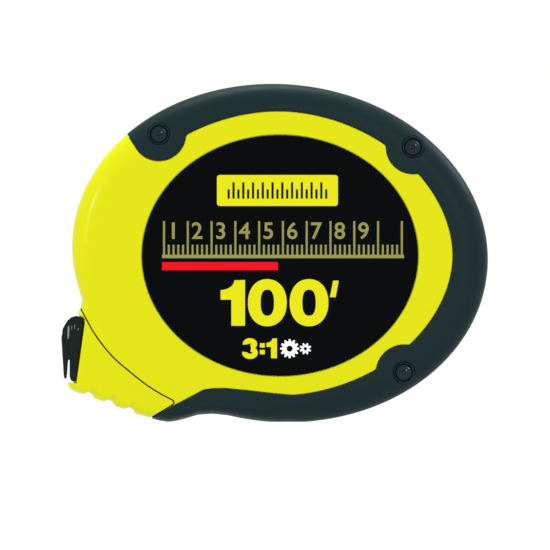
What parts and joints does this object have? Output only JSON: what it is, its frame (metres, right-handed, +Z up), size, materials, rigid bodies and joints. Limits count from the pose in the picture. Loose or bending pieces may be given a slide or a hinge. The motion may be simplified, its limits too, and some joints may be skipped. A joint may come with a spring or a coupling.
{
  "type": "closed-case long measuring tape",
  "caption": "Hand-wound long measuring tape in a closed oval case with rubber grip, folding crank, geared reel and swinging end hook.",
  "frame": {"origin": "middle of the object's footprint, on the surface it stands on", "axes": "+Z up, +X away from the tape mouth along the case, -Y out of the label side, +Y out of the crank side"},
  "size_m": [0.1751, 0.044, 0.1388],
  "materials": {
    "case_yellow": "moulded ABS, satin gloss with very fine texture",
    "grip_rubber": "soft overmoulded rubber, satin",
    "label_black": "printed plastic label, gloss",
    "black_nylon": "moulded nylon, satin",
    "natural_nylon": "moulded acetal, satin",
    "steel": "turned steel",
    "dark_steel": "black oxide steel",
    "tape_steel": "lacquered spring steel tape",
    "bush_brass": "turned brass"
  },
  "bodies": {
    "case": {"front_shell": "case_yellow", "back_shell": "case_yellow", "nose_insert": "case_yellow", "grip_front": "grip_rubber", "grip_back": "grip_rubber", "label_disc": "label_black", "case_screw_1": "dark_steel", "case_screw_2": "dark_steel", "case_screw_3": "dark_steel", "axle": "steel", "reel_washer": "natural_nylon", "ring_gear": "natural_nylon", "ring_gear_screw_1": "dark_steel", "ring_gear_screw_2": "dark_steel", "ring_gear_screw_3": "dark_steel", "crank_bush": "bush_brass"},
    "reel": {"reel_hub": "natural_nylon", "reel_flange_front": "natural_nylon", "reel_flange_back": "natural_nylon", "tape_coil": "tape_steel", "sun_gear": "natural_nylon"},
    "crank": {"planet_carrier": "steel", "planet_pin_1": "steel", "planet_pin_2": "steel", "planet_pin_3": "steel", "crank_arm": "black_nylon", "crank_screw": "dark_steel", "knob_hinge_pin": "steel"},
    "planet_1": {"planet_gear_1": "natural_nylon"},
    "planet_2": {"planet_gear_2": "natural_nylon"},
    "planet_3": {"planet_gear_3": "natural_nylon"},
    "knob_hinge": {"knob_post": "steel", "knob_end_screw": "dark_steel"},
    "knob": {"knob_grip": "black_nylon"},
    "tape": {"tape_strip": "tape_steel", "hook_body": "black_nylon", "hook_rivet_1": "steel", "hook_rivet_2": "steel", "hook_pin": "steel"},
    "claw": {"hook_claw": "black_nylon"}
  },
  "joints": [
    {"name": "reel_spin", "type": "hinge", "parent": "case", "child": "reel", "pos_m": [0.0024, 0, 0.0685], "axis": [0, 1, 0], "continuous": true},
    {"name": "crank_spin", "type": "hinge", "parent": "case", "child": "crank", "pos_m": [0.0024, 0, 0.0685], "axis": [0, 1, 0], "continuous": true},
    {"name": "planet_1_spin", "type": "hinge", "parent": "crank", "child": "planet_1", "pos_m": [0.0024, 0, 0.08725], "axis": [0, 1, 0], "continuous": true},
    {"name": "planet_2_spin", "type": "hinge", "parent": "crank", "child": "planet_2", "pos_m": [-0.01384, 0, 0.05912], "axis": [0, 1, 0], "continuous": true},
    {"name": "planet_3_spin", "type": "hinge", "parent": "crank", "child": "planet_3", "pos_m": [0.01864, 0, 0.05912], "axis": [0, 1, 0], "continuous": true},
    {"name": "knob_fold", "type": "hinge", "parent": "crank", "child": "knob_hinge", "pos_m": [0.0024, 0.0148, 0.031], "axis": [-1, 0, 0], "range_deg": [0, 90]},
    {"name": "knob_spin", "type": "hinge", "parent": "knob_hinge", "child": "knob", "pos_m": [0.0024, 0.0148, 0.0475], "axis": [0, 0, 1], "continuous": true},
    {"name": "tape_slide", "type": "slide", "parent": "case", "child": "tape", "axis": [-0.97, 0, 0.2433], "range_m": [0, 0.085]},
    {"name": "claw_swing", "type": "hinge", "parent": "tape", "child": "claw", "pos_m": [-0.0846, -0.0113, 0.0376], "axis": [0, 1, 0], "range_deg": [0, 90]}
  ],
  "couplings": [
    {"joint": "crank_spin", "follows": "reel_spin", "ratio": 0.33333},
    {"joint": "planet_1_spin", "follows": "reel_spin", "ratio": -1.3333},
    {"joint": "planet_2_spin", "follows": "reel_spin", "ratio": -1.3333},
    {"joint": "planet_3_spin", "follows": "reel_spin", "ratio": -1.3333}
  ]
}
